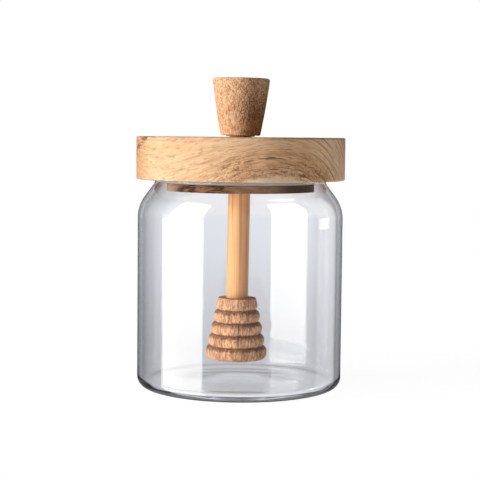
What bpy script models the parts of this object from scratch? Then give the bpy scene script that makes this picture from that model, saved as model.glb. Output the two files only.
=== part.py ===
"""A round glass honey jar with a turned wooden lid and a wooden honey dipper.

Metres, +Z up. The jar stands on Z = 0 and its axis is Z. The knob, rod and head of the
dipper share an axis of their own, which leans a little, as a rod glued by hand does.
Every outline is a list of (radius, height) points that is spun round an axis.
"""

from math import cos, degrees, pi, radians, sin

import bmesh
import bpy

# Driving sizes of the glass
BODY_RADIUS = 0.0500
RIM_HEIGHT = 0.1011
NECK_RADIUS = 0.0415
WALL = 0.0022
RIM_ROUND = 0.0005
FLOOR_THICKNESS = 0.0031
FOOT_FILLET = 0.0050
SHOULDER_RADIUS = 0.0180
SHOULDER_SLOPE = radians(37)
NECK_FILLET = 0.0038
PUNT_RADIUS = 0.0380
PUNT_RISE = 0.0014
MOUND_RADIUS = 0.0200
MOUND_RISE = 0.0009

# Driving sizes of the lid and its seal
GAP = 0.0003
LID_RADIUS = 0.0508
LID_THICKNESS = 0.0206
LID_EASING = 0.0008
PLUG_RADIUS = 0.0360
PLUG_THICKNESS = 0.0037
PLUG_EASING = 0.0003
GROOVE_RADIUS = 0.0330
GROOVE_HEIGHT = 0.0024
SEAL_RADIUS = 0.0372
SEAL_FIN_RADIUS = 0.0389
SEAL_FIN_THICKNESS = 0.0003
SEAL_EASING = 0.0003

# Driving sizes of the dipper
DIPPER_LEAN = radians(0.6)
DIPPER_FOOT_X = -0.0016
ROD_RADIUS = 0.00535
ROD_EASING = 0.0003
ROD_IN_HEAD = 0.0120
ROD_IN_KNOB = 0.0120
KNOB_TOP_RADIUS = 0.01405
KNOB_BOTTOM_RADIUS = 0.00965
KNOB_BELLY = 0.00025
KNOB_HEIGHT = 0.02765
KNOB_LIFT = 0.0008
KNOB_TOP_ROUND = 0.0010
KNOB_BOTTOM_ROUND = 0.0004
KNOB_FOOT_RADIUS = 0.0070
HEAD_TOP = 0.0435
HEAD_BOTTOM = 0.0133
RIDGE_COUNT = 5
RIDGE_HEIGHT = 0.0059
TOP_RIDGE_RADIUS = 0.01015
BOTTOM_RIDGE_RADIUS = 0.0150
COLLAR_RADIUS = 0.00935
COLLAR_FLARE_SHARE = 0.60
COLLAR_TURN_SHARE = 0.75
RIDGE_GROOVE_DEPTH = 0.0011
RIDGE_FULLNESS = 0.55
LAST_RIDGE_START = 72
HEAD_BOTTOM_ROUND = 0.0030

# Heights that follow from them
LID_BOTTOM = RIM_HEIGHT + GAP
LID_TOP = LID_BOTTOM + LID_THICKNESS
PLUG_TOP = LID_BOTTOM - GROOVE_HEIGHT
PLUG_BOTTOM = PLUG_TOP - PLUG_THICKNESS
KNOB_BOTTOM = LID_TOP + KNOB_LIFT
KNOB_TOP = KNOB_BOTTOM + KNOB_HEIGHT
BORE_RADIUS = ROD_RADIUS + GAP
ROD_BOTTOM = HEAD_TOP - ROD_IN_HEAD
ROD_TOP = KNOB_BOTTOM + ROD_IN_KNOB
LAST_RIDGE_TOP = HEAD_TOP - (RIDGE_COUNT - 1) * RIDGE_HEIGHT

# Fineness of the solids
GLASS_SIDES = 64
LID_SIDES = 64
HEAD_SIDES = 32
KNOB_SIDES = 32
ROD_SIDES = 24
RIDGE_STEPS = 6
KNOB_STEPS = 5
SHARP_ANGLE = radians(35)
WELD_DISTANCE = 1e-6


def arc(centre, radius, start, end, steps):
    """Points on an arc about centre, from angle start to angle end, in degrees from +radius."""
    turns = [radians(start + (end - start) * step / steps) for step in range(steps + 1)]
    return [(centre[0] + radius * cos(turn), centre[1] + radius * sin(turn)) for turn in turns]


def swell(radius, rise, height, steps, outwards):
    """Points of a low round swelling about the axis: full at the axis, flat at this radius."""
    places = [radius * step / steps for step in range(steps + 1)]
    points = [(place, height + rise * (1 + cos(pi * place / radius)) / 2) for place in places]
    return points if outwards else points[::-1]


def finish(name, colour, roughness, transmission=0.0):
    """A plain material with the piece's colour."""
    material = bpy.data.materials.new(name)
    material.use_nodes = True
    shader = material.node_tree.nodes["Principled BSDF"]
    shader.inputs["Base Color"].default_value = (*colour, 1.0)
    shader.inputs["Roughness"].default_value = roughness
    shader.inputs["Metallic"].default_value = 0.0
    shader.inputs["Transmission Weight"].default_value = transmission
    material.diffuse_color = (*colour, 1.0)
    return material


def turned(name, outline, sides, material, parent=None):
    """Spins an outline once round Z and closes the result into one solid object."""
    shape = bmesh.new()
    points = [shape.verts.new((radius, 0.0, height)) for radius, height in outline]
    edges = [shape.edges.new(ends) for ends in zip(points, points[1:])]
    bmesh.ops.spin(
        shape,
        geom=points + edges,
        cent=(0.0, 0.0, 0.0),
        axis=(0.0, 0.0, 1.0),
        angle=2 * pi,
        steps=sides,
    )
    bmesh.ops.remove_doubles(shape, verts=shape.verts[:], dist=WELD_DISTANCE)
    bmesh.ops.recalc_face_normals(shape, faces=shape.faces[:])
    mesh = bpy.data.meshes.new(name)
    shape.to_mesh(mesh)
    shape.free()
    mesh.shade_smooth()
    mesh.set_sharp_from_angle(angle=SHARP_ANGLE)
    mesh.materials.append(material)
    piece = bpy.data.objects.new(name, mesh)
    piece.parent = parent
    bpy.context.scene.collection.objects.link(piece)
    return piece


def shoulder_outline(inset, steps):
    """The shoulder from the neck down to the body's side, inset from the outside of the glass."""
    turn = 1 - cos(SHOULDER_SLOPE)
    narrowing = BODY_RADIUS - NECK_RADIUS
    straight = (narrowing - (SHOULDER_RADIUS + NECK_FILLET) * turn) / sin(SHOULDER_SLOPE)
    rise = (SHOULDER_RADIUS + NECK_FILLET) * sin(SHOULDER_SLOPE) + straight * cos(SHOULDER_SLOPE)
    slope = degrees(SHOULDER_SLOPE)
    neck_centre = (NECK_RADIUS + NECK_FILLET, RIM_HEIGHT)
    body_centre = (BODY_RADIUS - SHOULDER_RADIUS, RIM_HEIGHT - rise)
    neck = arc(neck_centre, NECK_FILLET + inset, 180, 180 + slope, steps // 2)
    body = arc(body_centre, SHOULDER_RADIUS - inset, slope, 0, steps)
    return neck + body


def glass_outline():
    """The whole wall of the jar: down the outside, across the foot, and back up the inside."""
    below_rim = RIM_HEIGHT - RIM_ROUND
    outer_shoulder = [point for point in shoulder_outline(0, 6) if point[1] < below_rim]
    inner_shoulder = [point for point in shoulder_outline(WALL, 6) if point[1] < below_rim]
    fillet_centre = BODY_RADIUS - FOOT_FILLET
    inner_fillet = FOOT_FILLET - WALL
    foot = arc((fillet_centre, FOOT_FILLET), FOOT_FILLET, 0, -90, 4)
    inner_foot = arc((fillet_centre, FLOOR_THICKNESS + inner_fillet), inner_fillet, -90, 0, 3)
    punt = swell(PUNT_RADIUS, PUNT_RISE, 0.0, 5, outwards=False)
    floor = swell(MOUND_RADIUS, MOUND_RISE, FLOOR_THICKNESS, 4, outwards=True)
    rim = arc((NECK_RADIUS - WALL + RIM_ROUND, below_rim), RIM_ROUND, 180, 90, 2)
    rim += arc((NECK_RADIUS - RIM_ROUND, below_rim), RIM_ROUND, 90, 0, 2)
    return floor + inner_foot + inner_shoulder[::-1] + rim + outer_shoulder + foot + punt


def lid_outline():
    """The lid's thick disc, the groove for the seal and the plug's flange, turned in one piece."""
    easing = LID_EASING
    top_edge = arc((LID_RADIUS - easing, LID_TOP - easing), easing, 90, 0, 2)
    bottom_edge = arc((LID_RADIUS - easing, LID_BOTTOM + easing), easing, 0, -90, 2)
    groove = [(GROOVE_RADIUS, LID_BOTTOM), (GROOVE_RADIUS, PLUG_TOP)]
    flange = [
        (PLUG_RADIUS - PLUG_EASING, PLUG_TOP),
        (PLUG_RADIUS, PLUG_TOP - PLUG_EASING),
        (PLUG_RADIUS, PLUG_BOTTOM + PLUG_EASING),
        (PLUG_RADIUS - PLUG_EASING, PLUG_BOTTOM),
    ]
    return [(0.0, LID_TOP)] + top_edge + bottom_edge + groove + flange + [(0.0, PLUG_BOTTOM)]


def seal_outline():
    """The ring in the groove, with a thin fin at its top that reaches for the neck."""
    top = LID_BOTTOM - GAP
    bottom = PLUG_TOP + GAP
    inner = GROOVE_RADIUS + GAP
    fin_run = SEAL_FIN_RADIUS - SEAL_RADIUS
    return [
        (inner, top),
        (SEAL_FIN_RADIUS - SEAL_EASING, top),
        (SEAL_FIN_RADIUS, top - SEAL_FIN_THICKNESS),
        (SEAL_RADIUS, top - SEAL_FIN_THICKNESS - fin_run / 2),
        (SEAL_RADIUS, bottom + SEAL_EASING),
        (SEAL_RADIUS - SEAL_EASING, bottom),
        (inner, bottom),
        (inner, top),
    ]


def knob_side(share):
    """A point on the knob's side, which swells a little. Share is 0 at its top and 1 at its bottom."""
    straight = KNOB_TOP_RADIUS + (KNOB_BOTTOM_RADIUS - KNOB_TOP_RADIUS) * share
    return (straight + KNOB_BELLY * sin(pi * share), KNOB_TOP - KNOB_HEIGHT * share)


def knob_outline():
    """A knob that tapers down to a small round foot, with a blind bore for the rod."""
    slope = (KNOB_TOP_RADIUS - KNOB_BOTTOM_RADIUS) / KNOB_HEIGHT
    tilt = degrees(slope)
    rounding = KNOB_TOP_ROUND
    edge_centre = (KNOB_TOP_RADIUS - rounding * (1 + slope), KNOB_TOP - rounding)
    low = KNOB_BOTTOM_ROUND
    bore_top = ROD_TOP + GAP
    foot_bottom = LID_TOP + GAP
    return (
        [(0.0, KNOB_TOP)]
        + arc(edge_centre, rounding, 90, -tilt, 4)
        + [knob_side(step / KNOB_STEPS) for step in range(1, KNOB_STEPS)]
        + [(KNOB_BOTTOM_RADIUS + low * slope, KNOB_BOTTOM + low)]
        + [(KNOB_BOTTOM_RADIUS - low, KNOB_BOTTOM)]
        + [(KNOB_FOOT_RADIUS, KNOB_BOTTOM), (KNOB_FOOT_RADIUS, foot_bottom)]
        + [(BORE_RADIUS, foot_bottom), (BORE_RADIUS, bore_top), (0.0, bore_top)]
    )


def rod_outline():
    """A plain round stick with eased ends."""
    inner = ROD_RADIUS - ROD_EASING
    return [
        (0.0, ROD_TOP),
        (inner, ROD_TOP),
        (ROD_RADIUS, ROD_TOP - ROD_EASING),
        (ROD_RADIUS, ROD_BOTTOM + ROD_EASING),
        (inner, ROD_BOTTOM),
        (0.0, ROD_BOTTOM),
    ]


def ridge_radius(ridge):
    """The ridges widen by equal steps from the collar down to the foot of the head."""
    share = ridge / (RIDGE_COUNT - 1)
    return TOP_RIDGE_RADIUS + (BOTTOM_RIDGE_RADIUS - TOP_RIDGE_RADIUS) * share


def ridge_outline(ridge, top, bottom):
    """One round ridge between the groove above it and the groove below it."""
    upper = ridge_radius(ridge - 1) - RIDGE_GROOVE_DEPTH
    lower = ridge_radius(ridge) - RIDGE_GROOVE_DEPTH
    points = []
    for step in range(1, RIDGE_STEPS + 1):
        share = step / RIDGE_STEPS
        straight = upper + (lower - upper) * share
        bulge = (ridge_radius(ridge) - straight) * sin(pi * share) ** RIDGE_FULLNESS
        points.append((straight + bulge, top + (bottom - top) * share))
    return points


def head_outline():
    """The dipper's head: a collar, round ridges that widen downwards, and a blind bore."""
    collar = [
        (COLLAR_RADIUS, HEAD_TOP),
        (TOP_RIDGE_RADIUS, HEAD_TOP - COLLAR_FLARE_SHARE * RIDGE_HEIGHT),
        (TOP_RIDGE_RADIUS, HEAD_TOP - COLLAR_TURN_SHARE * RIDGE_HEIGHT),
        (TOP_RIDGE_RADIUS - RIDGE_GROOVE_DEPTH, HEAD_TOP - RIDGE_HEIGHT),
    ]
    ridges = []
    for ridge in range(1, RIDGE_COUNT - 1):
        top = HEAD_TOP - ridge * RIDGE_HEIGHT
        ridges += ridge_outline(ridge, top, top - RIDGE_HEIGHT)
    last_groove = ridge_radius(RIDGE_COUNT - 2) - RIDGE_GROOVE_DEPTH
    widening = BOTTOM_RIDGE_RADIUS - last_groove
    last = arc((last_groove, LAST_RIDGE_TOP - widening), widening, LAST_RIDGE_START, 0, 3)
    rounding = HEAD_BOTTOM_ROUND
    foot_centre = (BOTTOM_RIDGE_RADIUS - rounding, HEAD_BOTTOM + rounding)
    foot = arc(foot_centre, rounding, 0, -90, 4)
    bore_bottom = ROD_BOTTOM - GAP
    bore = [(0.0, bore_bottom), (BORE_RADIUS, bore_bottom), (BORE_RADIUS, HEAD_TOP)]
    return bore + collar + ridges + last + foot + [(0.0, HEAD_BOTTOM)]


def bore_the_lid(lid, axis):
    """Cuts the rod's hole right through the lid, along the dipper's own axis."""
    beyond = LID_EASING
    outline = [
        (0.0, LID_TOP + beyond),
        (BORE_RADIUS, LID_TOP + beyond),
        (BORE_RADIUS, PLUG_BOTTOM - beyond),
        (0.0, PLUG_BOTTOM - beyond),
    ]
    cutter = turned("lid_bore_cutter", outline, ROD_SIDES, lid.data.materials[0], axis)
    cutter.hide_render = True
    cutter.display_type = "WIRE"
    bore = lid.modifiers.new("rod_bore", "BOOLEAN")
    bore.operation = "DIFFERENCE"
    bore.solver = "EXACT"
    bore.object = cutter


def main():
    for piece in list(bpy.data.objects):
        bpy.data.objects.remove(piece)

    glass = finish("clear_glass", (0.90, 0.92, 0.94), 0.02, transmission=1.0)
    lid_wood = finish("blond_wood", (0.72, 0.50, 0.30), 0.55)
    knob_wood = finish("brown_wood", (0.55, 0.31, 0.17), 0.65)
    head_wood = finish("ridge_wood", (0.50, 0.29, 0.16), 0.65)
    stick_wood = finish("honey_wood", (0.80, 0.50, 0.24), 0.50)
    silicone = finish("grey_silicone", (0.62, 0.63, 0.65), 0.45)

    dipper_axis = bpy.data.objects.new("dipper_axis", None)
    dipper_axis.location = (DIPPER_FOOT_X, 0.0, 0.0)
    dipper_axis.rotation_euler = (0.0, DIPPER_LEAN, 0.0)
    bpy.context.scene.collection.objects.link(dipper_axis)

    turned("glass_jar", glass_outline(), GLASS_SIDES, glass)
    lid = turned("lid", lid_outline(), LID_SIDES, lid_wood)
    turned("seal", seal_outline(), LID_SIDES, silicone)
    turned("knob", knob_outline(), KNOB_SIDES, knob_wood, dipper_axis)
    turned("dipper_rod", rod_outline(), ROD_SIDES, stick_wood, dipper_axis)
    turned("dipper_head", head_outline(), HEAD_SIDES, head_wood, dipper_axis)
    bore_the_lid(lid, dipper_axis)


main()
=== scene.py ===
# %% [markdown]
# # A glass honey jar with a wooden lid and dipper
#
# The jar is blown glass, its thick lid is one turned disc of blond wood, and the honey
# dipper hangs from the lid: a tapered knob, a straight stick and a ridged head. The solids
# of all six pieces are already made and packed. This script dresses them: it gives each
# piece a finer surface of the same size, its own material, and a soft studio to stand in.

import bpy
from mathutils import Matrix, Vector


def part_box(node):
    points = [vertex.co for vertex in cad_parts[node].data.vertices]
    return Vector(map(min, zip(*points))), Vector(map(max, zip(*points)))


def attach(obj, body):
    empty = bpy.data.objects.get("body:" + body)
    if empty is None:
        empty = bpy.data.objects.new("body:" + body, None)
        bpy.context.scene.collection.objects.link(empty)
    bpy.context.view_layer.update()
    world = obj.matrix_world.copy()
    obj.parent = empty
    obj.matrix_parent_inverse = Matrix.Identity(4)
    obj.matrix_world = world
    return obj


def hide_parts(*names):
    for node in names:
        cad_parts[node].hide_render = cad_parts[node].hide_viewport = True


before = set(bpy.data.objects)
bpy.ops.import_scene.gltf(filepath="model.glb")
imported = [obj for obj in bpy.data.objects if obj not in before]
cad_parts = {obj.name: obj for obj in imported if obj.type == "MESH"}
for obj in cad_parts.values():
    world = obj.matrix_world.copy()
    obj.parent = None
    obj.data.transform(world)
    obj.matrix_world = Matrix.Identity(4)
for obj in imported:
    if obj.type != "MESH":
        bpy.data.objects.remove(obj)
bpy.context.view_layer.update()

# %% [markdown]
# ## Sizes
#
# Everything is measured in metres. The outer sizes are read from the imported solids, so the
# dressed pieces can't drift from them. The rest, such as the thickness of the glass, are
# the sizes the pieces were designed to, written once here.

# %% Sizes shared by the pieces
from math import cos, degrees, hypot, pi, radians, sin

import bmesh
import bpy
from mathutils import Matrix, Vector, noise

MM = 0.001
GAP = 0.3 * MM
BODY_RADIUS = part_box("glass_jar")[1].x
RIM_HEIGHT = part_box("glass_jar")[1].z
LID_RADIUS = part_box("lid")[1].x
LID_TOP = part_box("lid")[1].z
PLUG_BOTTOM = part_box("lid")[0].z
LID_BOTTOM = RIM_HEIGHT + GAP
PLUG_TOP = PLUG_BOTTOM + 3.7 * MM
print("Body radius", round(BODY_RADIUS, 5), "rim at", round(RIM_HEIGHT, 5), "lid top", round(LID_TOP, 5))

# %% [markdown]
# ## Turning an outline
#
# Glassblowing and woodturning both make round things, so one helper makes every piece. It
# takes an outline, a list of (radius, height) points, and copies it round the Z axis. A
# Screw modifier or the spin operator would do the same. Building the rings by hand is
# chosen here because the quads stay even, and because each point can be pressed inwards a
# little on its way, which is how the open grain of the wood gets a real surface.

# %% Helpers for outlines
TINY = 1e-7


def arc(centre, radius, start, end, steps):
    """Points on an arc about centre, between two angles in degrees, counted from outwards."""
    turns = [radians(start + (end - start) * step / steps) for step in range(steps + 1)]
    return [(centre[0] + radius * cos(turn), centre[1] + radius * sin(turn)) for turn in turns]


def evenly(outline, spacing):
    """The outline without repeated points, and with more points added about this far apart."""
    points = [outline[0]]
    for end in outline[1:]:
        start = points[-1]
        length = hypot(end[0] - start[0], end[1] - start[1])
        if length < TINY:
            continue
        steps = max(1, round(length / spacing))
        for step in range(1, steps + 1):
            part = step / steps
            outwards, upwards = (end[0] - start[0]) * part, (end[1] - start[1]) * part
            points.append((start[0] + outwards, start[1] + upwards))
    return points


# %% The helper that turns an outline into a closed mesh
SHARP_ANGLE = radians(40)
FULL_DEPTH = 0.1 * MM


def turned(name, outline, sides, place=Matrix.Identity(4), dent=None, loop=False):
    """Copies the outline round Z. Ends on the axis become one vertex. Dent says how far a point sinks."""
    shape = bmesh.new()
    sunk = shape.verts.layers.float.new("sunk")
    rings = []
    for radius, height in outline:
        if radius < TINY:
            rings.append([shape.verts.new((0.0, 0.0, height))] * sides)
            continue
        ring = []
        for side in range(sides):
            turn = 2 * pi * side / sides
            point = Vector((radius * cos(turn), radius * sin(turn), height))
            depth = dent(point) if dent else 0.0
            vertex = shape.verts.new(point - Vector((cos(turn), sin(turn), 0)) * depth)
            vertex[sunk] = depth / FULL_DEPTH
            ring.append(vertex)
        rings.append(ring)
    pairs = list(zip(rings, rings[1:] + rings[:1])) if loop else list(zip(rings, rings[1:]))
    for upper, lower in pairs:
        for side in range(sides):
            after = (side + 1) % sides
            corners = [upper[side], lower[side], lower[after], upper[after]]
            shape.faces.new(list(dict.fromkeys(corners)))
    bmesh.ops.recalc_face_normals(shape, faces=shape.faces[:])
    mesh = bpy.data.meshes.new(name)
    shape.to_mesh(mesh)
    shape.free()
    mesh.transform(place)
    mesh.shade_smooth()
    mesh.set_sharp_from_angle(angle=SHARP_ANGLE)
    piece = bpy.data.objects.new(name, mesh)
    bpy.context.scene.collection.objects.link(piece)
    return piece


def dress(piece, node, material):
    """The piece takes the node's place on the jar and gets its material."""
    piece.data.materials.append(material)
    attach(piece, "root")
    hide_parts(node)
    print(piece.name, "stands for", node, "with", len(piece.data.polygons), "faces")


# %% [markdown]
# ## Materials as recipes
#
# A material is a small network of nodes. Each recipe below adds its nodes by name with one
# helper, which links an input to another node or just sets it. Another helper turns a
# range of values into a share from 0 to 1, and a third mixes two colours by such a share.

# %% Helpers for materials
def add(tree, kind, inputs=None, **settings):
    """Adds a node. An input given as another node's socket is linked, and any other is set."""
    node = tree.nodes.new("ShaderNode" + kind)
    for name, value in settings.items():
        setattr(node, name, value)
    for name, value in (inputs or {}).items():
        if isinstance(value, bpy.types.NodeSocket):
            tree.links.new(value, node.inputs[name])
        else:
            node.inputs[name].default_value = value
    return node


def share(tree, value, low, high):
    """0 where the value is at low or beyond, 1 at high or beyond, and a soft step between."""
    limits = {"Value": value, "From Min": low, "From Max": high, "To Min": 0.0, "To Max": 1.0}
    return add(tree, "MapRange", limits, interpolation_type="SMOOTHSTEP").outputs["Result"]


def blend(tree, amount, first, second):
    """The first colour where the amount is 0, and the second where it is 1."""
    mix = tree.nodes.new("ShaderNodeMix")
    mix.data_type = "RGBA"
    for socket, value in ((mix.inputs[0], amount), (mix.inputs[6], first), (mix.inputs[7], second)):
        if isinstance(value, bpy.types.NodeSocket):
            tree.links.new(value, socket)
        else:
            socket.default_value = value if isinstance(value, float) else (*value, 1.0)
    return mix.outputs[2]


def calculate(tree, operation, first, second=0.0, third=0.0):
    return add(tree, "Math", {0: first, 1: second, 2: third}, operation=operation).outputs[0]


def material_tree(name):
    """A new material with a Principled shader, its node tree and that shader."""
    material = bpy.data.materials.new(name)
    material.use_nodes = True
    return material, material.node_tree, material.node_tree.nodes["Principled BSDF"]


# %% [markdown]
# ## The studio
#
# The real jar stood in a white studio beside a tall softbox and was lit mostly from the
# left. A camera can be placed by eye, but here it was fitted: the curve of the lid's lower
# edge and of the jar's foot tell how far away it stood and how high its eye was.

# %% The camera
CAMERA_DISTANCE = 0.667
CAMERA_HEIGHT = 0.1228
CAMERA_PITCH = radians(4.38)
CAMERA_ROLL = radians(0.557)
PICTURE_SIDE = 480
FOCAL_PIXELS = 1365

camera_data = bpy.data.cameras.new("camera")
camera_data.sensor_width = 36
camera_data.lens = camera_data.sensor_width * FOCAL_PIXELS / PICTURE_SIDE
camera = bpy.data.objects.new("camera", camera_data)
camera.location = (0, -CAMERA_DISTANCE, CAMERA_HEIGHT)
aim_down = Matrix.Rotation(pi / 2 - CAMERA_PITCH, 3, "X")
camera.rotation_euler = (aim_down @ Matrix.Rotation(CAMERA_ROLL, 3, "Z")).to_euler()
bpy.context.scene.collection.objects.link(camera)
bpy.context.scene.camera = camera
print("Lens", round(camera_data.lens, 1), "mm")

# %% [markdown]
# ## White paper that doesn't flood the jar
#
# White paper all round would light the wood from every side and leave it flat. A studio
# solves this with black cloth round the set, and a white board that lies under the jar.
# In Cycles the Light Path node does the same job, by answering each kind of ray in its own
# way. The camera sees white paper. The wood gets light from the board below, and little
# from the rest of the floor, so the lid's side is lit from below and keeps that light from
# the knob. What looks through the glass doesn't meet the floor at all. It sees the room
# behind it: pale bluish paper that dims downwards, and a ceiling that is dark overhead.
# The dipper looks out through the glass too, so the room gives it the light that a floor
# would send up, most of it from the left front and little from straight below.

# %% The floor
FLOOR_SIDE = 60
FLOOR_GLOW = 0.95
FLOOR_PAPER = 0.14
FAR_BOUNCE = 0.10
BOARD_BOUNCE = 1.4
BOARD_PLACE = (0.05, -0.15, 0.0)
BOARD_INNER, BOARD_OUTER = 0.22, 0.50


def floor_material():
    material, tree, shader = material_tree("floor_paper")
    shader.inputs["Base Color"].default_value = (FLOOR_PAPER, FLOOR_PAPER, FLOOR_PAPER, 1)
    shader.inputs["Roughness"].default_value = 0.9
    shader.inputs["Specular IOR Level"].default_value = 0.0
    shader.inputs["Emission Color"].default_value = (1, 1, 1, 1)
    shader.inputs["Emission Strength"].default_value = FLOOR_GLOW
    place = add(tree, "TexCoord").outputs["Object"]
    away = add(tree, "VectorMath", {0: place, 1: BOARD_PLACE}, operation="DISTANCE").outputs["Value"]
    on_board = share(tree, away, BOARD_OUTER, BOARD_INNER)
    strength = calculate(tree, "MULTIPLY_ADD", on_board, BOARD_BOUNCE - FAR_BOUNCE, FAR_BOUNCE)
    bounced = add(tree, "Emission", {"Strength": strength})
    is_camera = add(tree, "LightPath").outputs["Is Camera Ray"]
    seen = add(tree, "MixShader", {0: is_camera, 1: bounced.outputs[0], 2: shader.outputs[0]})
    tree.links.new(seen.outputs[0], tree.nodes["Material Output"].inputs["Surface"])
    material.cycles.emission_sampling = "NONE"
    return material


half = FLOOR_SIDE / 2
floor_mesh = bpy.data.meshes.new("floor")
floor_corners = [(-half, -half, 0), (half, -half, 0), (half, half, 0), (-half, half, 0)]
floor_mesh.from_pydata(floor_corners, [], [(0, 1, 2, 3)])
floor_mesh.materials.append(floor_material())
floor = bpy.data.objects.new("floor", floor_mesh)
floor.location.z = -0.05 * MM
floor.visible_glossy = False
floor.visible_transmission = False
bpy.context.scene.collection.objects.link(floor)
print("Floor", FLOOR_SIDE, "m across, with a board's light of", BOARD_BOUNCE)

# %% The room that the glass shows
HIGH_PAPER = (0.90, 0.91, 0.945)
FAR_PAPER = (0.79, 0.81, 0.865)
NEAR_PAPER = (0.57, 0.585, 0.62)
CEILING = (0.16, 0.165, 0.18)
ROOM_FILL = 0.05
ROOM_GLOSS = 0.02
GLOSS_FROM_BELOW = 0.30
BOUNCE_IN_JAR = 2.8
BRIGHT_SIDE = (-0.75, -0.66, 0.0)
BRIGHT_SIDE_SHARE = 0.8
UNDERNEATH_SHARE = 0.85
LEAST_TILT = 0.1

world = bpy.data.worlds.new("studio")
bpy.context.scene.world = world
world.use_nodes = True
room = world.node_tree
room.nodes.clear()
path = add(room, "LightPath")
way = add(room, "TexCoord").outputs["Generated"]
upwards = add(room, "SeparateXYZ", {0: way}).outputs["Z"]


def by_angle(start, end, first, second):
    """One colour up to the start angle over the horizon, and another from the end angle on."""
    return blend(room, share(room, upwards, sin(radians(start)), sin(radians(end))), first, second)


walls = by_angle(14, 40, HIGH_PAPER, CEILING)
walls = by_angle(-2.2, -3.4, walls, FAR_PAPER)
walls = by_angle(-3.4, -9.5, walls, NEAR_PAPER)
walls = by_angle(-20, -45, walls, FAR_PAPER)
unbounced = calculate(room, "LESS_THAN", path.outputs["Diffuse Depth"], 0.5)
looks_through = calculate(room, "MULTIPLY", path.outputs["Is Transmission Ray"], unbounced)
downwards = share(room, upwards, sin(radians(2)), sin(radians(-6)))
fill = calculate(room, "MULTIPLY_ADD", downwards, BOUNCE_IN_JAR - ROOM_FILL, ROOM_FILL)
towards_bright = add(room, "VectorMath", {0: way, 1: BRIGHT_SIDE}, operation="DOT_PRODUCT").outputs["Value"]
tilt = calculate(room, "MULTIPLY_ADD", towards_bright, BRIGHT_SIDE_SHARE, 1.0)
underneath = share(room, upwards, sin(radians(-35)), sin(radians(-60)))
tilt = calculate(room, "MULTIPLY_ADD", underneath, -UNDERNEATH_SHARE, tilt)
fill = calculate(room, "MULTIPLY", fill, calculate(room, "MAXIMUM", tilt, LEAST_TILT))
gloss = calculate(room, "MULTIPLY", path.outputs["Is Glossy Ray"], unbounced)
steep = share(room, upwards, sin(radians(-10.2)), sin(radians(-11.5)))
glossy_fill = calculate(room, "MULTIPLY_ADD", steep, GLOSS_FROM_BELOW - ROOM_GLOSS, ROOM_GLOSS)
fill = add(room, "Mix", {"Factor": gloss, "A": fill, "B": glossy_fill}).outputs["Result"]
dim = add(room, "Background", {"Strength": fill})
through = add(room, "Background", {"Color": walls})
white = add(room, "Background", {"Color": (1, 1, 1, 1)})
glass_view = add(room, "MixShader", {0: looks_through, 1: dim.outputs[0], 2: through.outputs[0]})
is_camera = path.outputs["Is Camera Ray"]
view = add(room, "MixShader", {0: is_camera, 1: glass_view.outputs[0], 2: white.outputs[0]})
add(room, "OutputWorld", {"Surface": view.outputs[0]})
print("Room light", ROOM_FILL, "and", BOUNCE_IN_JAR, "from below for the dipper")

# %% [markdown]
# ## Suns for the wood, cards for the glass
#
# Wood shows where its light comes from by shading, and glass by what it mirrors, so each
# gets lamps of its own. A low sun on the left lights the wood, and a weak high one lifts
# the tops. Four upright cards light nothing and show only in reflections. A wide low card
# and a narrower one over it make the white stripe on the left of the jar, and two weaker
# cards stand on the right.

# %% The lamps
def direction(azimuth, elevation):
    """The way to a lamp. Azimuth 0 is in front of the jar, and positive is to its right."""
    turn, rise = radians(azimuth), radians(elevation)
    return Vector((sin(turn) * cos(rise), -cos(turn) * cos(rise), sin(rise)))


def lamp(name, data, aim, place=Vector((0, 0, 0))):
    """An object for the lamp that shines from place against the aim."""
    thing = bpy.data.objects.new(name, data)
    thing.location = place
    thing.rotation_euler = (-aim).to_track_quat("-Z", "Y").to_euler()
    thing.visible_camera = False
    bpy.context.scene.collection.objects.link(thing)
    return thing


def sun(name, azimuth, elevation, strength, softness):
    """A far lamp for the matt surfaces. Softness is how wide it looks, in degrees."""
    data = bpy.data.lights.new(name, "SUN")
    data.energy = strength
    data.angle = radians(softness)
    far_lamp = lamp(name, data, direction(azimuth, elevation))
    far_lamp.visible_glossy = False
    far_lamp.visible_transmission = False


def card(name, azimuth, distance, middle, width, height, radiance, colour=(1.0, 1.0, 1.0)):
    """An upright glowing card that lights nothing and shows only in reflections."""
    data = bpy.data.lights.new(name, "AREA")
    data.shape = "RECTANGLE"
    data.size = width
    data.size_y = height
    data.energy = radiance * pi * width * height
    data.color = colour
    data.use_nodes = True
    tree = data.node_tree
    bounces = add(tree, "LightPath")
    unlit = calculate(tree, "LESS_THAN", bounces.outputs["Diffuse Depth"], 0.5)
    mirrored = calculate(tree, "GREATER_THAN", bounces.outputs["Glossy Depth"], 0.5)
    tree.links.new(calculate(tree, "MULTIPLY", unlit, mirrored), tree.nodes["Emission"].inputs["Strength"])
    aim = direction(azimuth, 0)
    lamp(name, data, aim, aim * distance + Vector((0, 0, middle))).visible_diffuse = False


WARM = (1.0, 0.965, 0.90)
sun("key", -69, 9, 3.8, 14)
sun("top", -40, 78, 0.4, 30)
card("left_card", -66.5, 0.6, -0.245, 0.60, 0.75, 5.5, WARM)
card("upper_card", -61.5, 0.6, 0.4525, 0.46, 0.645, 5.5, WARM)
card("window", 105, 0.6, 0.084, 0.18, 0.085, 1.9)
card("back_card", 112.5, 0.63, 0.075, 0.42, 1.4, 1.0)

# %% [markdown]
# ## The glass
#
# Clear glass is a Principled shader with full transmission. What makes it look real is
# thickness: light bends at the outer and the inner face of the wall, and loses a little
# colour on the way through. So the jar is modelled with a true wall, and a weak volume
# absorption tints the light by how much glass it crosses, which darkens the edges.
#
# Two things are added by hand. A wall that is seen at a slant gets a grey tint, as if dark
# things stood round the set, and this draws the jar's outline. And a lamp's light goes
# straight through and loses a fifth at each face, because light that bends on its way to
# the wood would take very long to render.

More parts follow.
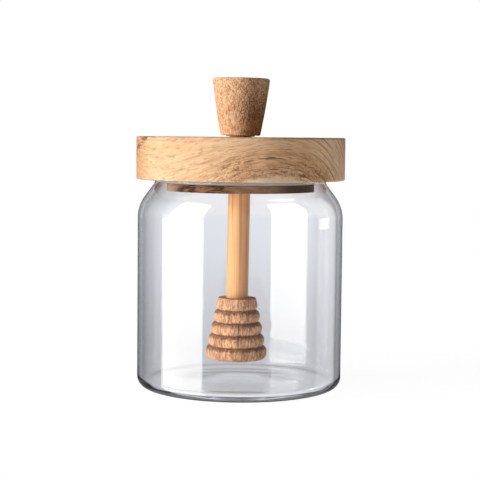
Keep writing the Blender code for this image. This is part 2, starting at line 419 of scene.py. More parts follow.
# %% The glass material
GLASS_IOR = 1.47
GLASS_TINT = (0.60, 0.63, 0.68)
GLASS_DENSITY = 6.0
SLANT_TINT = (0.80, 0.80, 0.81)
EDGE_TINT = (0.28, 0.28, 0.29)
TINT_OF_FLAT = 0.85
SHADE_OF_GLASS = (0.80, 0.80, 0.80)


def glass_material():
    material, tree, shader = material_tree("clear_glass")
    facing = add(tree, "LayerWeight").outputs["Facing"]
    normal_z = add(tree, "SeparateXYZ", {0: add(tree, "NewGeometry").outputs["Normal"]}).outputs["Z"]
    upright = share(tree, calculate(tree, "ABSOLUTE", normal_z), 1.0, 0.6)
    walls_only = calculate(tree, "MULTIPLY_ADD", upright, 1 - TINT_OF_FLAT, TINT_OF_FLAT)
    slant = calculate(tree, "MULTIPLY", share(tree, facing, 0.28, 0.44), walls_only)
    edge = calculate(tree, "MULTIPLY", share(tree, facing, 0.46, 0.90), walls_only)
    tint = blend(tree, edge, blend(tree, slant, (1, 1, 1), SLANT_TINT), EDGE_TINT)
    tree.links.new(tint, shader.inputs["Base Color"])
    shader.inputs["Roughness"].default_value = 0.0
    shader.inputs["IOR"].default_value = GLASS_IOR
    shader.inputs["Transmission Weight"].default_value = 1.0
    absorb = add(tree, "VolumeAbsorption", {"Color": (*GLASS_TINT, 1), "Density": GLASS_DENSITY})
    path = add(tree, "LightPath")
    clear = add(tree, "BsdfTransparent", {"Color": (*SHADE_OF_GLASS, 1)})
    shaders = {0: path.outputs["Is Shadow Ray"], 1: shader.outputs[0], 2: clear.outputs[0]}
    mix = add(tree, "MixShader", shaders)
    output = tree.nodes["Material Output"]
    tree.links.new(mix.outputs[0], output.inputs["Surface"])
    tree.links.new(absorb.outputs[0], output.inputs["Volume"])
    return material


# %% The jar's outline
NECK_RADIUS = 41.5 * MM
WALL = 2.2 * MM
RIM_ROUND = 0.5 * MM
FLOOR_THICKNESS = 3.1 * MM
FOOT_FILLET = 5.0 * MM
SHOULDER_RADIUS = 18.0 * MM
SHOULDER_SLOPE = radians(37)
NECK_FILLET = 3.8 * MM
PUNT_RADIUS, PUNT_RISE = 38.0 * MM, 1.4 * MM
MOUND_RADIUS, MOUND_RISE = 20.0 * MM, 0.9 * MM
GLASS_SIDES = 256
GLASS_SPACING = 4 * MM


def swell(radius, rise, height, steps):
    """A low round swelling, from the axis out to this radius."""
    places = [radius * step / steps for step in range(steps + 1)]
    return [(place, height + rise * (1 + cos(pi * place / radius)) / 2) for place in places]


def shoulder(inset):
    """The shoulder from the neck down to the body's side, inset from the outside."""
    turn = 1 - cos(SHOULDER_SLOPE)
    narrowing = BODY_RADIUS - NECK_RADIUS
    straight = (narrowing - (SHOULDER_RADIUS + NECK_FILLET) * turn) / sin(SHOULDER_SLOPE)
    rise = (SHOULDER_RADIUS + NECK_FILLET) * sin(SHOULDER_SLOPE) + straight * cos(SHOULDER_SLOPE)
    slope = degrees(SHOULDER_SLOPE)
    neck = arc((NECK_RADIUS + NECK_FILLET, RIM_HEIGHT), NECK_FILLET + inset, 180, 180 + slope, 16)
    body = arc((BODY_RADIUS - SHOULDER_RADIUS, RIM_HEIGHT - rise), SHOULDER_RADIUS - inset, slope, 0, 24)
    return neck + body


def glass_outline():
    """Up the inside of the jar from the axis, over the rim and back under the foot."""
    below_rim = RIM_HEIGHT - RIM_ROUND
    outside = [point for point in shoulder(0) if point[1] < below_rim]
    inside = [point for point in shoulder(WALL) if point[1] < below_rim]
    corner = BODY_RADIUS - FOOT_FILLET
    inner_fillet = FOOT_FILLET - WALL
    foot = arc((corner, FOOT_FILLET), FOOT_FILLET, 0, -90, 16)
    inner_foot = arc((corner, FLOOR_THICKNESS + inner_fillet), inner_fillet, -90, 0, 12)
    rim = arc((NECK_RADIUS - WALL + RIM_ROUND, below_rim), RIM_ROUND, 180, 90, 6)
    rim += arc((NECK_RADIUS - RIM_ROUND, below_rim), RIM_ROUND, 90, 0, 6)
    floor_rise = swell(MOUND_RADIUS, MOUND_RISE, FLOOR_THICKNESS, 24)
    punt = swell(PUNT_RADIUS, PUNT_RISE, 0.0, 32)[::-1]
    return floor_rise + inner_foot + inside[::-1] + rim + outside + foot + punt


jar = turned("jar_of_glass", evenly(glass_outline(), GLASS_SPACING), GLASS_SIDES)
dress(jar, "glass_jar", glass_material())

# %% [markdown]
# ## The lid's wood
#
# The lid was turned from a plank, so its rim cuts through the log's growth rings. They
# bulge up in an arch right of the middle, and crowd together on the right, where the cut
# runs across the fibres. An image could show that on one side only. Here the rings are
# real cylinders round an axis under the lid, so they match on every side and on the top.

# %% The lid's material
LOG_TURN = radians(40)
LOG_OFFSET = -17.7 * MM
LOG_HEIGHT = 70 * MM
RING_SPACING = 3.1 * MM
DARK_RING = 48 * MM
CORE_OUTER, CORE_INNER = 35.0 * MM, 33.4 * MM
STREAK_SLANT = 0.377
STREAK_HEIGHT = 112 * MM
LIGHT_WOOD = (0.76, 0.51, 0.30)
TAN_WOOD = (0.83, 0.59, 0.38)
HEART_WOOD = (0.80, 0.475, 0.265)
RED_WOOD = (0.44, 0.19, 0.08)
BROWN_WOOD = (0.26, 0.135, 0.065)
DARK_WOOD = (0.17, 0.085, 0.045)
PALE_WOOD = (0.80, 0.60, 0.40)
PLUG_LIGHT, PLUG_DARK = (0.27, 0.125, 0.062), (0.035, 0.014, 0.007)
PLUG_MIDDLE = (0.55, 0.31, 0.18)
# Painted shade for the flange's right end, and a painted highlight for its left end.
PLUG_SHADE = (0.025, 0.012, 0.007)
PLUG_LIT_END = (0.66, 0.44, 0.31)


def lid_material():
    material, tree, shader = material_tree("blond_wood")
    place = add(tree, "TexCoord").outputs["Object"]
    split = add(tree, "SeparateXYZ", {0: place})
    sideways_x, height = split.outputs["X"], split.outputs["Z"]
    across_way, along_way = (cos(LOG_TURN), sin(LOG_TURN), 0), (-sin(LOG_TURN), cos(LOG_TURN), 0)
    across = add(tree, "VectorMath", {0: place, 1: across_way}, operation="DOT_PRODUCT").outputs["Value"]
    along = add(tree, "VectorMath", {0: place, 1: along_way}, operation="DOT_PRODUCT").outputs["Value"]

    def times(first, second):
        return calculate(tree, "MULTIPLY", first, second)

    def grain(first, first_scale, second, second_scale, third, third_scale, detail, distortion=0.0):
        """Noise that is stretched differently in three directions."""
        spots = add(tree, "CombineXYZ", {
            0: times(first, first_scale),
            1: times(second, second_scale),
            2: times(third, third_scale),
        })
        inputs = {"Vector": spots.outputs[0], "Scale": 1.0, "Detail": detail, "Distortion": distortion}
        return add(tree, "TexNoise", inputs).outputs["Fac"]

    wander = calculate(tree, "MULTIPLY_ADD", grain(along, 12, across, 25, height, 30, 2.0), 4 * MM, -2 * MM)
    sideways = calculate(tree, "SUBTRACT", across, LOG_OFFSET)
    upwards = calculate(tree, "SUBTRACT", height, LOG_HEIGHT)
    spot = add(tree, "CombineXYZ", {0: sideways, 1: upwards}).outputs[0]
    clean_ring = add(tree, "VectorMath", {0: spot}, operation="LENGTH").outputs["Value"]
    ring = calculate(tree, "ADD", clean_ring, wander)
    round_ring = times(calculate(tree, "ARCTAN2", sideways, upwards), 45 * MM)

    def painted(colour, mask, strength, paint):
        """The colour with this paint over it where the mask is, this strongly."""
        return blend(tree, times(mask, strength), colour, paint)

    turns = calculate(tree, "MULTIPLY", ring, 2 * pi / RING_SPACING)
    turns = calculate(tree, "SUBTRACT", turns, 2 * pi * DARK_RING / RING_SPACING)
    wave = calculate(tree, "COSINE", turns)
    heart = times(share(tree, ring, 50 * MM, 42 * MM), share(tree, across, -48 * MM, -32 * MM))
    flank = share(tree, across, -4 * MM, 14 * MM)
    off_top = share(tree, calculate(tree, "ABSOLUTE", sideways), 7 * MM, 16 * MM)
    soft_years = grain(ring, 360, round_ring, 7, along, 7, 3.0)
    clouds = grain(ring, 300, round_ring, 50, along, 90, 2.0, 0.3)
    uneven = grain(ring, 150, round_ring, 30, along, 30, 1.0)
    loops = grain(ring, 1000, round_ring, 110, along, 240, 3.0, 0.4)
    dashes = grain(ring, 1200, round_ring, 95, along, 220, 2.0, 0.2)
    speckle = grain(ring, 1250, round_ring, 1000, along, 1000, 1.0, 0.2)
    fibres = grain(ring, 1700, round_ring, 110, along, 180, 3.0)

    depth = split.outputs["Y"]
    in_front = share(tree, depth, 20 * MM, -5 * MM)
    on_top = share(tree, height, LID_TOP - 0.7 * MM, LID_TOP - 0.2 * MM)
    off_top_face = calculate(tree, "SUBTRACT", 1.0, on_top)

    colour = blend(tree, flank, LIGHT_WOOD, TAN_WOOD)
    colour = painted(colour, share(tree, soft_years, 0.42, 0.60), 0.70, HEART_WOOD)
    colour = painted(colour, heart, 0.72, HEART_WOOD)
    heart = times(heart, off_top_face)
    in_heart = calculate(tree, "MULTIPLY_ADD", heart, 0.30, 0.08)
    colour = painted(colour, share(tree, clouds, 0.46, 0.66), in_heart, RED_WOOD)
    in_heart = calculate(tree, "MULTIPLY_ADD", heart, 0.18, 0.32)
    colour = painted(colour, share(tree, fibres, 0.47, 0.64), in_heart, RED_WOOD)
    colour = painted(colour, share(tree, sideways_x, -41 * MM, -48.5 * MM), 0.50, RED_WOOD)
    lines = times(share(tree, wave, 0.50, 1.0), share(tree, uneven, 0.30, 0.50))
    lines = times(lines, calculate(tree, "MULTIPLY_ADD", in_front, 0.5, 0.5))
    colour = painted(colour, lines, calculate(tree, "MULTIPLY_ADD", flank, 0.56, 0.20), BROWN_WOOD)
    colour = painted(colour, share(tree, loops, 0.53, 0.65), times(heart, 0.50), BROWN_WOOD)
    colour = painted(colour, share(tree, dashes, 0.58, 0.66), times(heart, 0.85), DARK_WOOD)
    pores = grain(ring, 1500, round_ring, 260, along, 300, 1.0, 0.3)
    colour = painted(colour, share(tree, pores, 0.58, 0.66), times(off_top_face, 0.36), BROWN_WOOD)
    top_pores = grain(across, 1300, along, 75, height, 100, 2.0, 0.2)
    colour = painted(colour, share(tree, top_pores, 0.54, 0.66), times(on_top, 0.45), BROWN_WOOD)
    near_bottom = share(tree, height, LID_BOTTOM + 11 * MM, LID_BOTTOM + 3 * MM)
    low = times(share(tree, ring, 56 * MM, 48 * MM), share(tree, across, -42 * MM, -26 * MM))
    low = times(near_bottom, low)
    grit = calculate(tree, "MAXIMUM", times(off_top, times(heart, 0.60)), times(low, 0.55))
    colour = painted(colour, share(tree, speckle, 0.53, 0.62), grit, DARK_WOOD)

    in_the_disc = share(tree, height, LID_BOTTOM - MM, LID_BOTTOM)
    core = times(share(tree, clean_ring, CORE_OUTER, CORE_INNER), in_the_disc)
    colour = painted(colour, core, 0.70, PALE_WOOD)

    slanted = calculate(tree, "MULTIPLY_ADD", depth, STREAK_SLANT, height)
    off_streak = calculate(tree, "SUBTRACT", slanted, STREAK_HEIGHT)
    off_streak = calculate(tree, "ABSOLUTE", off_streak)
    at_the_end = share(tree, sideways_x, -36 * MM, -39.5 * MM)
    hatching = grain(slanted, 350, height, 1100, depth, 120, 2.0)
    streak = times(at_the_end, share(tree, off_streak, 2.2 * MM, 1.0 * MM))
    colour = painted(colour, times(streak, share(tree, hatching, 0.38, 0.54)), 0.85, DARK_WOOD)
    scratches = times(share(tree, sideways_x, -47 * MM, -49.5 * MM), share(tree, hatching, 0.55, 0.62))
    scratches = times(scratches, share(tree, height, LID_BOTTOM + 6 * MM, LID_BOTTOM + 9 * MM))
    colour = painted(colour, scratches, 0.6, DARK_WOOD)

    plug = share(tree, height, LID_BOTTOM - 1 * MM, LID_BOTTOM - 2 * MM)
    twill = grain(slanted, 900, sideways_x, 150, height, 500, 3.0, 0.6)
    plug_wood = blend(tree, share(tree, twill, 0.44, 0.55), PLUG_LIGHT, PLUG_DARK)
    # Across the flange: lighter from the middle on, painted shade on the right end and a painted highlight
    # on the left end.
    plug_wood = painted(plug_wood, share(tree, sideways_x, -12 * MM, 4 * MM), 0.45, PLUG_MIDDLE)
    plug_wood = painted(plug_wood, share(tree, sideways_x, 8 * MM, 28 * MM), 0.88, PLUG_SHADE)
    plug_wood = painted(plug_wood, share(tree, sideways_x, -27 * MM, -34 * MM), 0.60, PLUG_LIT_END)
    # Painted shade along the lid's lower edge and on its underside.
    painted_underside_shade = share(tree, height, LID_BOTTOM + 0.4 * MM, LID_BOTTOM + 0.05 * MM)
    colour = painted(colour, painted_underside_shade, 0.55, BROWN_WOOD)
    colour = blend(tree, plug, colour, plug_wood)

    tree.links.new(colour, shader.inputs["Base Color"])
    shader.inputs["Roughness"].default_value = 0.62
    shader.inputs["Specular IOR Level"].default_value = 0.15
    bump = add(tree, "Bump", {"Height": fibres, "Strength": 0.4, "Distance": 0.06 * MM}, invert=True)
    tree.links.new(bump.outputs[0], shader.inputs["Normal"])
    return material


# %% [markdown]
# ## A bored disc
#
# The lid's outline goes round its whole section and closes on itself: the disc's top and
# side, the groove for the seal, the flange, and the wall of the bore for the stick. The
# stick leans a little, so after the turning the bore's two rings of points are moved onto
# its axis. A boolean would cut the same hole, but it can leave thin faces that don't close.

# %% The lid's mesh
LID_EASING = 0.8 * MM
PLUG_RADIUS = 36.0 * MM
PLUG_EASING = 0.3 * MM
GROOVE_RADIUS = 33.0 * MM
LID_SIDES = 256
LID_SPACING = 2 * MM
DIPPER = Matrix.Translation((-1.6 * MM, 0, 0)) @ Matrix.Rotation(radians(0.6), 4, "Y")
ROD_RADIUS = 5.35 * MM
BORE_RADIUS = ROD_RADIUS + GAP
NEAR_BORE = BORE_RADIUS + 0.1 * MM


def lid_outline():
    """The thick disc, the groove for the seal, the flange under it and the ends of the bore."""
    top_edge = arc((LID_RADIUS - LID_EASING, LID_TOP - LID_EASING), LID_EASING, 90, 0, 6)
    bottom_edge = arc((LID_RADIUS - LID_EASING, LID_BOTTOM + LID_EASING), LID_EASING, 0, -90, 6)
    groove = [(GROOVE_RADIUS, LID_BOTTOM), (GROOVE_RADIUS, PLUG_TOP)]
    upper = arc((PLUG_RADIUS - PLUG_EASING, PLUG_TOP - PLUG_EASING), PLUG_EASING, 90, 0, 4)
    lower = arc((PLUG_RADIUS - PLUG_EASING, PLUG_BOTTOM + PLUG_EASING), PLUG_EASING, 0, -90, 4)
    bore_top, bore_bottom = [(BORE_RADIUS, LID_TOP)], [(BORE_RADIUS, PLUG_BOTTOM)]
    return bore_top + top_edge + bottom_edge + groove + upper + lower + bore_bottom


def lean_bore(piece):
    """Moves the bore's two rings of points sideways, onto the dipper's leaning axis."""
    moved = 0
    for vertex in piece.data.vertices:
        if hypot(vertex.co.x, vertex.co.y) < NEAR_BORE:
            vertex.co.x += (DIPPER @ Vector((0, 0, vertex.co.z))).x
            moved += 1
    print("The bore leans by moving", moved, "points")


lid = turned("turned_lid", evenly(lid_outline(), LID_SPACING), LID_SIDES, loop=True)
lean_bore(lid)
dress(lid, "lid", lid_material())

# %% [markdown]
# ## The seal
#
# A soft grey ring sits in the groove of the lid and grips the inside of the neck with a
# thin fin. Silicone is smooth but never sharp, so every corner of its outline is rounded.

# %% The seal
SEAL_RADIUS = 37.2 * MM
FIN_RADIUS = 38.9 * MM
SEAL_SPACING = 0.6 * MM
SEAL_GREY, SEAL_PALE = (0.46, 0.47, 0.49), (0.58, 0.59, 0.61)


def seal_outline():
    """A ring with soft corners and a fin that thins towards its tip."""
    top = LID_BOTTOM - GAP
    bottom = PLUG_TOP + GAP
    inner = GROOVE_RADIUS + GAP
    soft = 0.15 * MM
    tip = arc((FIN_RADIUS - soft, top - soft), soft, 90, -60, 6)
    root = arc((SEAL_RADIUS + soft, top - 1.15 * MM - soft), soft, 120, 180, 4)
    foot = arc((SEAL_RADIUS - soft, bottom + soft), soft, 0, -90, 4)
    return [(inner, top)] + tip + root + foot + [(inner, bottom)]


def seal_material():
    material, tree, shader = material_tree("grey_silicone")
    place = add(tree, "TexCoord").outputs["Object"]
    cloud = add(tree, "TexNoise", {"Vector": place, "Scale": 220.0, "Detail": 2.0}).outputs["Fac"]
    tree.links.new(blend(tree, cloud, SEAL_GREY, SEAL_PALE), shader.inputs["Base Color"])
    shader.inputs["Roughness"].default_value = 0.42
    shader.inputs["Subsurface Weight"].default_value = 0.15
    shader.inputs["Subsurface Scale"].default_value = 1.0 * MM
    return material


seal = turned("silicone_seal", evenly(seal_outline(), SEAL_SPACING), LID_SIDES, loop=True)
dress(seal, "seal", seal_material())

# %% [markdown]
# ## Open grain that can be felt
#
# The knob's and the head's wood is full of open pores, which catch the light as short
# wavy marks. They are pressed into the mesh while it is turned, and each point remembers
# how deep it lies, so the material can darken exactly the same marks.

# %% Helpers for pores
PORE_SIDES = 384


def band(value, low, high):
    """0 below low, 1 above high, and a soft step between."""
    step = min(1.0, max(0.0, (value - low) / (high - low)))
    return step * step * (3 - 2 * step)


def worms(point, width, length, seed):
    """Short wavy marks, this wide and long, that run mostly upwards. 1 in a mark and 0 outside."""
    bend = noise.noise(point / (2.0 * width) + Vector((seed, 0, 0))) * 0.9
    spot = Vector((point.x / width, point.y / width, point.z / length)) + Vector((bend, bend, seed))
    line = 1 - band(abs(noise.noise(spot)), 0.0, 0.22)
    gaps = band(noise.noise(spot * 0.6 + Vector((7, 3, seed))), -0.55, -0.15)
    return line * gaps


# %% The knob's mesh
KNOB_BOTTOM = LID_TOP + 0.8 * MM
KNOB_TOP = KNOB_BOTTOM + 27.65 * MM
KNOB_TOP_RADIUS = 14.05 * MM
KNOB_BOTTOM_RADIUS = 9.65 * MM
KNOB_BELLY = 0.25 * MM
KNOB_FOOT_RADIUS = 7.0 * MM
KNOB_TOP_ROUND = 1.0 * MM
KNOB_BOTTOM_ROUND = 0.4 * MM
ROD_TOP = KNOB_BOTTOM + 12.0 * MM
KNOB_PORE_DEPTH = 0.13 * MM
KNOB_SPACING = 0.24 * MM


def knob_side(down):
    """A point on the knob's side, which swells a little. Down is 0 at its top and 1 at its bottom."""
    straight = KNOB_TOP_RADIUS + (KNOB_BOTTOM_RADIUS - KNOB_TOP_RADIUS) * down
    return (straight + KNOB_BELLY * sin(pi * down), KNOB_TOP + (KNOB_BOTTOM - KNOB_TOP) * down)


def knob_outline():
    """A knob that tapers down to a small round foot, with a blind bore for the rod."""
    slope = (KNOB_TOP_RADIUS - KNOB_BOTTOM_RADIUS) / (KNOB_TOP - KNOB_BOTTOM)
    edge_centre = (KNOB_TOP_RADIUS - KNOB_TOP_ROUND * (1 + slope), KNOB_TOP - KNOB_TOP_ROUND)
    low = KNOB_BOTTOM_ROUND
    foot_bottom = LID_TOP + GAP
    outside = [(0.0, KNOB_TOP)] + arc(edge_centre, KNOB_TOP_ROUND, 90, -degrees(slope), 5)
    outside += [knob_side(step / 12) for step in range(1, 12)]
    outside += [(KNOB_BOTTOM_RADIUS + low * slope, KNOB_BOTTOM + low)]
    outside += [(KNOB_BOTTOM_RADIUS - low, KNOB_BOTTOM)]
    foot = [(KNOB_FOOT_RADIUS, KNOB_BOTTOM), (KNOB_FOOT_RADIUS, foot_bottom)]
    bore = [(BORE_RADIUS, foot_bottom), (BORE_RADIUS, ROD_TOP + GAP), (0.0, ROD_TOP + GAP)]
    return evenly(outside, KNOB_SPACING) + evenly(foot, 2 * MM) + evenly(bore, 3 * MM)


def knob_dent(point):
    """Pores on the knob's side only, so that its foot and bore keep their size."""
    radius = hypot(point.x, point.y)
    on_side = band(radius, KNOB_BOTTOM_RADIUS - 1.0 * MM, KNOB_BOTTOM_RADIUS - 0.5 * MM)
    return on_side * KNOB_PORE_DEPTH * worms(point, 1.0 * MM, 1.8 * MM, 3.1)


knob = turned("tapered_knob", knob_outline(), PORE_SIDES, DIPPER, knob_dent)
print("The knob is", round(1000 * (KNOB_TOP - KNOB_BOTTOM), 2), "mm tall")

# %% The knob's material
KNOB_WOOD, KNOB_CLOUD = (0.88, 0.56, 0.335), (0.80, 0.47, 0.26)
KNOB_FIBRE = (0.55, 0.27, 0.13)
KNOB_PORE = (0.42, 0.17, 0.07)


def knob_material():
    material, tree, shader = material_tree("brown_wood")
    place = add(tree, "TexCoord").outputs["Object"]
    sunk = add(tree, "Attribute", attribute_name="sunk").outputs["Fac"]
    long = add(tree, "Mapping", {"Vector": place, "Scale": (700.0, 700.0, 220.0)}).outputs[0]
    cloud = add(tree, "TexNoise", {"Vector": place, "Scale": 260.0, "Detail": 3.0}).outputs["Fac"]
    fibre = add(tree, "TexNoise", {"Vector": long, "Scale": 1.0, "Detail": 3.0}).outputs["Fac"]
    colour = blend(tree, share(tree, cloud, 0.38, 0.66), KNOB_WOOD, KNOB_CLOUD)
    in_fibre = calculate(tree, "MULTIPLY", share(tree, fibre, 0.5, 0.7), 0.35)
    colour = blend(tree, in_fibre, colour, KNOB_FIBRE)
    colour = blend(tree, calculate(tree, "MULTIPLY", sunk, 0.70), colour, KNOB_PORE)
    tree.links.new(colour, shader.inputs["Base Color"])
    shader.inputs["Roughness"].default_value = 0.6
    shader.inputs["Specular IOR Level"].default_value = 0.25
    bump = add(tree, "Bump", {"Height": fibre, "Strength": 0.5, "Distance": 0.08 * MM})
    tree.links.new(bump.outputs[0], shader.inputs["Normal"])
    return material


dress(knob, "knob", knob_material())

# %% [markdown]
# ## The stick
#
# The stick is a plain dowel, split from straight-grained wood, so its grain lines run its
# whole length. They are noise that is stretched a hundredfold along the stick.

# %% The rod
HEAD_TOP = 43.5 * MM
ROD_BOTTOM = HEAD_TOP - 12.0 * MM
ROD_EASING = 0.3 * MM
ROD_SIDES = 160
FURROW_WIDTH, FURROW_LENGTH, FURROW_DEPTH = 0.8 * MM, 70 * MM, 0.05 * MM
ROD_WOOD, ROD_BAND = (0.79, 0.425, 0.18), (0.70, 0.35, 0.14)
ROD_LINE = (0.45, 0.20, 0.075)


def rod_outline():
    """A round stick with eased ends."""
    inner = ROD_RADIUS - ROD_EASING
    upper = [(0.0, ROD_TOP), (inner, ROD_TOP), (ROD_RADIUS, ROD_TOP - ROD_EASING)]
    lower = [(ROD_RADIUS, ROD_BOTTOM + ROD_EASING), (inner, ROD_BOTTOM), (0.0, ROD_BOTTOM)]
    return evenly(upper + lower, 2 * MM)


def rod_dent(point):
    """Fine furrows along the stick."""
    spot = Vector((point.x / FURROW_WIDTH, point.y / FURROW_WIDTH, point.z / FURROW_LENGTH))
    return FURROW_DEPTH * band(noise.noise(spot), 0.0, 0.5)


def rod_material():
    material, tree, shader = material_tree("honey_wood")
    place = add(tree, "TexCoord").outputs["Object"]
    long = add(tree, "Mapping", {"Vector": place, "Scale": (900.0, 900.0, 9.0)}).outputs[0]
    broad = add(tree, "Mapping", {"Vector": place, "Scale": (260.0, 260.0, 5.0)}).outputs[0]
    lines = add(tree, "TexNoise", {"Vector": long, "Scale": 1.0, "Detail": 3.0}).outputs["Fac"]
    bands = add(tree, "TexNoise", {"Vector": broad, "Scale": 1.0, "Detail": 1.0}).outputs["Fac"]
    colour = blend(tree, share(tree, bands, 0.42, 0.58), ROD_WOOD, ROD_BAND)
    in_line = calculate(tree, "MULTIPLY", share(tree, lines, 0.47, 0.58), 0.7)
    colour = blend(tree, in_line, colour, ROD_LINE)
    tree.links.new(colour, shader.inputs["Base Color"])
    shader.inputs["Roughness"].default_value = 0.5
    shader.inputs["Specular IOR Level"].default_value = 0.3
    return material


rod = turned("dipper_stick", rod_outline(), ROD_SIDES, DIPPER, rod_dent)
dress(rod, "dipper_rod", rod_material())

# %% [markdown]
# ## The dipper's head
#
# The head is turned from darker wood. Its rounded ridges widen downwards and hold the
# honey between them. Short upright flecks are the wood's pores, cut lengthwise by the lathe.

# %% The head's mesh
HEAD_BOTTOM = 13.3 * MM
RIDGE_COUNT = 5
RIDGE_HEIGHT = 5.9 * MM
TOP_RIDGE_RADIUS = 10.15 * MM
BOTTOM_RIDGE_RADIUS = 15.0 * MM
COLLAR_RADIUS = 9.35 * MM
RIDGE_GROOVE_DEPTH = 1.1 * MM
RIDGE_FULLNESS = 0.55
LAST_RIDGE_TOP = HEAD_TOP - (RIDGE_COUNT - 1) * RIDGE_HEIGHT
LAST_RIDGE_START = 72
HEAD_BOTTOM_ROUND = 3.0 * MM
COLLAR_ROUND = 0.4 * MM
HEAD_PORE_DEPTH = 0.12 * MM
HEAD_SPACING = 0.3 * MM


def ridge_radius(ridge):
    """The ridges widen by equal steps from the collar down to the foot of the head."""
    return TOP_RIDGE_RADIUS + (BOTTOM_RIDGE_RADIUS - TOP_RIDGE_RADIUS) * ridge / (RIDGE_COUNT - 1)


def ridge_outline(ridge):
    """One round ridge between the groove above it and the groove below it."""
    upper = ridge_radius(ridge - 1) - RIDGE_GROOVE_DEPTH
    lower = ridge_radius(ridge) - RIDGE_GROOVE_DEPTH
    points = []
    for step in range(1, 25):
        down = step / 24
        straight = upper + (lower - upper) * down
        bulge = (ridge_radius(ridge) - straight) * sin(pi * down) ** RIDGE_FULLNESS
        points.append((straight + bulge, HEAD_TOP - (ridge + down) * RIDGE_HEIGHT))
    return points


def head_outline():
    """The collar, three full ridges, a last one with a round bottom, and the blind bore."""
    edge_centre = (COLLAR_RADIUS - COLLAR_ROUND, HEAD_TOP - COLLAR_ROUND)
    collar_edge = arc(edge_centre, COLLAR_ROUND, 90, 10, 5)
    collar = collar_edge + [
        (TOP_RIDGE_RADIUS, HEAD_TOP - 0.60 * RIDGE_HEIGHT),
        (TOP_RIDGE_RADIUS, HEAD_TOP - 0.75 * RIDGE_HEIGHT),
        (TOP_RIDGE_RADIUS - RIDGE_GROOVE_DEPTH, HEAD_TOP - RIDGE_HEIGHT),
    ]
    ridges = [point for ridge in range(1, RIDGE_COUNT - 1) for point in ridge_outline(ridge)]
    last_groove = ridge_radius(RIDGE_COUNT - 2) - RIDGE_GROOVE_DEPTH
    widening = BOTTOM_RIDGE_RADIUS - last_groove
    last = arc((last_groove, LAST_RIDGE_TOP - widening), widening, LAST_RIDGE_START, 0, 10)
    foot_centre = (BOTTOM_RIDGE_RADIUS - HEAD_BOTTOM_ROUND, HEAD_BOTTOM + HEAD_BOTTOM_ROUND)
    foot = arc(foot_centre, HEAD_BOTTOM_ROUND, 0, -90, 12)
    outside = collar + ridges + last + foot + [(0.0, HEAD_BOTTOM)]
    bore_bottom = ROD_BOTTOM - GAP
    bore = [(0.0, bore_bottom), (BORE_RADIUS, bore_bottom), (BORE_RADIUS, HEAD_TOP)]
    return evenly(bore, 3 * MM) + evenly(outside, HEAD_SPACING)


def head_dent(point):
    """Upright pores on the outside of the head."""
    radius = hypot(point.x, point.y)
    outside = band(radius, COLLAR_RADIUS - 1.2 * MM, COLLAR_RADIUS - 0.6 * MM)
    return outside * HEAD_PORE_DEPTH * worms(point, 0.7 * MM, 2.2 * MM, 8.4)


head = turned("dipper_head_turned", head_outline(), PORE_SIDES, DIPPER, head_dent)
print("The head is", round(1000 * (HEAD_TOP - HEAD_BOTTOM), 1), "mm tall")

# %% [markdown]
# ## Painted shade in the grooves
#
# The grooves, and the upper side of each ridge where the ridge above shades it, are painted
# dark as shade. The darkness follows the height on the head: a cosine that repeats with
# each ridge is darkest in the groove and on the upper side of the next ridge.
# Two small drying cracks run with the grain on the side that faces the camera.

# %% The head's material
FIRST_GROOVE = HEAD_TOP - RIDGE_HEIGHT
GROOVE_SHIFT = 0.6 * MM
CRACKS = ((-0.4 * MM, 20 * MM, 32 * MM), (10.3 * MM, 14.5 * MM, 19 * MM))
HEAD_WOOD, HEAD_CLOUD = (0.86, 0.475, 0.255), (0.65, 0.33, 0.17)
HEAD_PALE, HEAD_FIBRE = (0.95, 0.62, 0.39), (0.25, 0.115, 0.058)
HEAD_GROOVE_SHADE, HEAD_PORE = (0.17, 0.07, 0.032), (0.14, 0.06, 0.03)
HEAD_CRACK = (0.05, 0.022, 0.012)


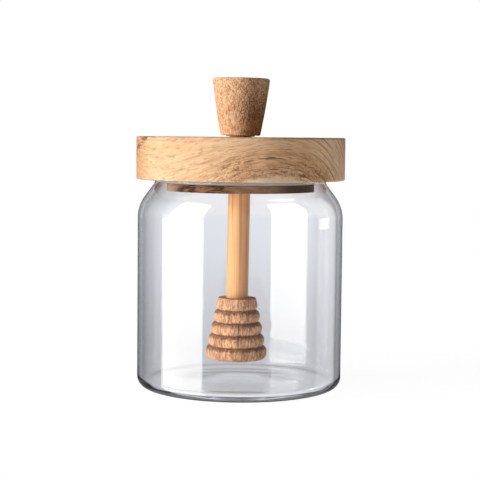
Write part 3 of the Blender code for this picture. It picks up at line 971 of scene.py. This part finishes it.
def head_material():
    material, tree, shader = material_tree("ridge_wood")
    place = add(tree, "TexCoord").outputs["Object"]
    split = add(tree, "SeparateXYZ", {0: place})
    sideways, depth, height = split.outputs["X"], split.outputs["Y"], split.outputs["Z"]
    sunk = add(tree, "Attribute", attribute_name="sunk").outputs["Fac"]

    def stretched(round_scale, upright_scale, detail):
        """Noise that is stretched along the grain."""
        scale = (round_scale, round_scale, upright_scale)
        long = add(tree, "Mapping", {"Vector": place, "Scale": scale}).outputs[0]
        return add(tree, "TexNoise", {"Vector": long, "Scale": 1.0, "Detail": detail}).outputs["Fac"]

    def painted(colour, mask, strength, paint):
        """The colour with this paint over it where the mask is, this strongly."""
        return blend(tree, calculate(tree, "MULTIPLY", mask, strength), colour, paint)

    fibre = stretched(1000.0, 190.0, 3.0)
    cloud = stretched(260.0, 60.0, 2.0)
    pale = stretched(1300.0, 260.0, 2.0)
    colour = blend(tree, share(tree, cloud, 0.40, 0.60), HEAD_WOOD, HEAD_CLOUD)
    colour = painted(colour, share(tree, pale, 0.54, 0.64), 0.55, HEAD_PALE)
    colour = painted(colour, share(tree, fibre, 0.47, 0.59), 0.55, HEAD_FIBRE)

    # Painted shade: darkest in each groove and on the upper side of the ridge below it.
    down = calculate(tree, "SUBTRACT", FIRST_GROOVE - GROOVE_SHIFT, height)
    wave = calculate(tree, "COSINE", calculate(tree, "MULTIPLY", down, 2 * pi / RIDGE_HEIGHT))
    ragged = calculate(tree, "MULTIPLY_ADD", fibre, 2.4, -1.2)
    groove_shade = share(tree, calculate(tree, "ADD", wave, ragged), -0.1, 1.4)
    below_collar = share(tree, height, FIRST_GROOVE + 1.5 * MM, FIRST_GROOVE)
    over_foot = share(tree, height, LAST_RIDGE_TOP - 3.0 * MM, LAST_RIDGE_TOP - 1.5 * MM)
    groove_shade = calculate(tree, "MULTIPLY", groove_shade, calculate(tree, "MULTIPLY", below_collar, over_foot))
    colour = painted(colour, groove_shade, 0.80, HEAD_GROOVE_SHADE)
    colour = painted(colour, sunk, 0.50, HEAD_PORE)

    in_front = share(tree, depth, 0.0, -2 * MM)
    for crack_place, low, high in CRACKS:
        wavy = calculate(tree, "MULTIPLY_ADD", cloud, 1.6 * MM, crack_place - 0.8 * MM)
        off_crack = calculate(tree, "ABSOLUTE", calculate(tree, "SUBTRACT", sideways, wavy))
        crack = share(tree, off_crack, 0.40 * MM, 0.15 * MM)
        for limit in ((low, low + MM), (high, high - MM)):
            crack = calculate(tree, "MULTIPLY", crack, share(tree, height, *limit))
        crack = calculate(tree, "MULTIPLY", crack, in_front)
        colour = painted(colour, crack, 0.85, HEAD_CRACK)
    tree.links.new(colour, shader.inputs["Base Color"])
    shader.inputs["Roughness"].default_value = 0.62
    shader.inputs["Specular IOR Level"].default_value = 0.2
    bump = add(tree, "Bump", {"Height": fibre, "Strength": 0.5, "Distance": 0.08 * MM})
    tree.links.new(bump.outputs[0], shader.inputs["Normal"])
    return material


dress(head, "dipper_head", head_material())

# %% Colour of the picture, and how many times light may bounce
scene = bpy.context.scene
scene.view_settings.view_transform = "Standard"
scene.view_settings.look = "None"
scene.cycles.use_denoising = True
scene.cycles.max_bounces = 24
scene.cycles.transmission_bounces = 20
scene.cycles.glossy_bounces = 12
scene.cycles.transparent_max_bounces = 16
scene.cycles.caustics_reflective = True
scene.cycles.caustics_refractive = True
print("Light may bounce", scene.cycles.max_bounces, "times")
